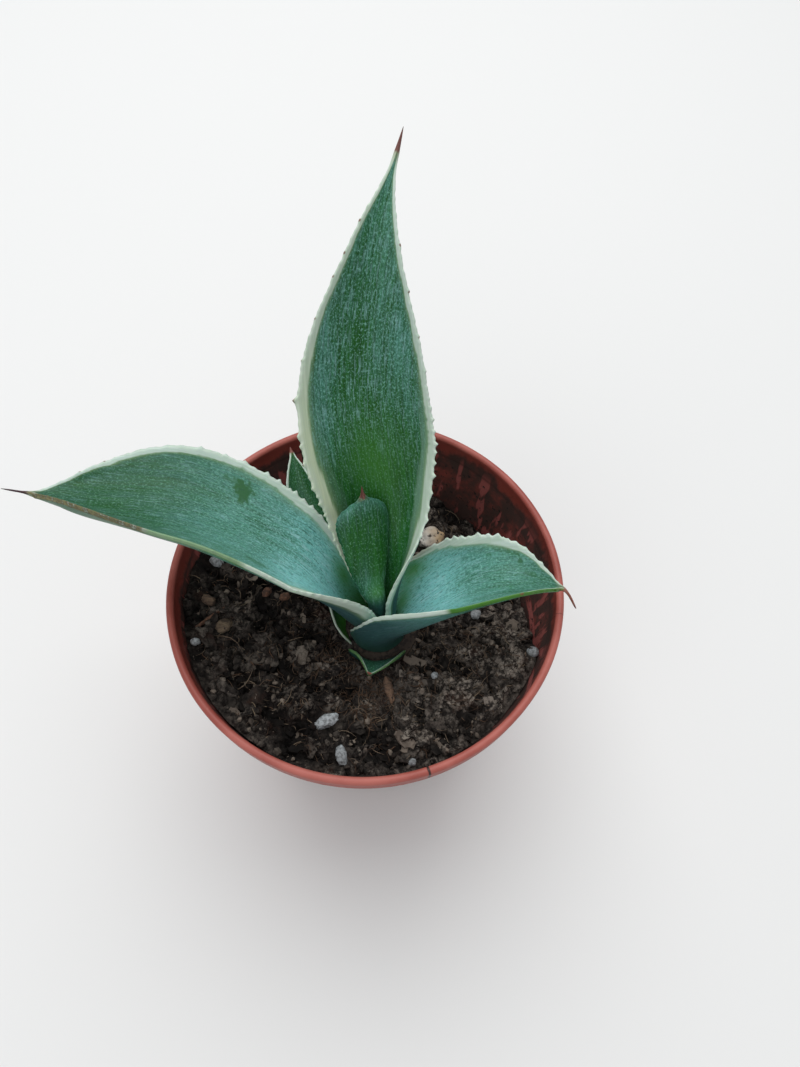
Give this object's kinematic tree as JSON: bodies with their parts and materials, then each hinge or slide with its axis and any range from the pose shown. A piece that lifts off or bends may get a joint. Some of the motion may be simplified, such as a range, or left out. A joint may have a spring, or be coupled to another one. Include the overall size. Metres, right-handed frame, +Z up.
{
  "type": "potted agave",
  "caption": "Small variegated agave rosette with cream-edged, toothed, spine-tipped blue-green leaves, growing in peat in a round tapered plastic pot.",
  "frame": {"origin": "middle of the pot's underside, on the surface that it stands on", "axes": "+Z up out of the pot; -Y towards the viewer of the picture; +X to the viewer's right"},
  "size_m": [0.114, 0.0966, 0.1428],
  "materials": {
    "pot_plastic": "satin moulded plastic, dusty red terracotta colour",
    "peat": "damp fibrous peat",
    "stem": "matt green to brown stem tissue",
    "leaf": "waxy blue-green skin with cream margins",
    "perlite": "chalky white",
    "pebble": "matt speckled stone",
    "bark": "dry brown bark",
    "twig": "dry rust-brown wood"
  },
  "bodies": {
    "root": {"pot": "pot_plastic", "soil": "peat", "stem": "stem", "leaf_centre": "leaf", "leaf_upright": "leaf", "leaf_left": "leaf", "leaf_right": "leaf", "leaf_back": "leaf", "leaf_front": "leaf", "perlite_front": "perlite", "perlite_front_low": "perlite", "perlite_right": "perlite", "perlite_middle": "perlite", "perlite_small": "perlite", "perlite_rim": "perlite", "perlite_left": "perlite", "perlite_shaded": "perlite", "pebble": "pebble", "bark_left": "bark", "bark_far_left": "bark", "bark_chip": "bark", "bark_sliver": "bark", "twig": "twig"}
  },
  "joints": []
}
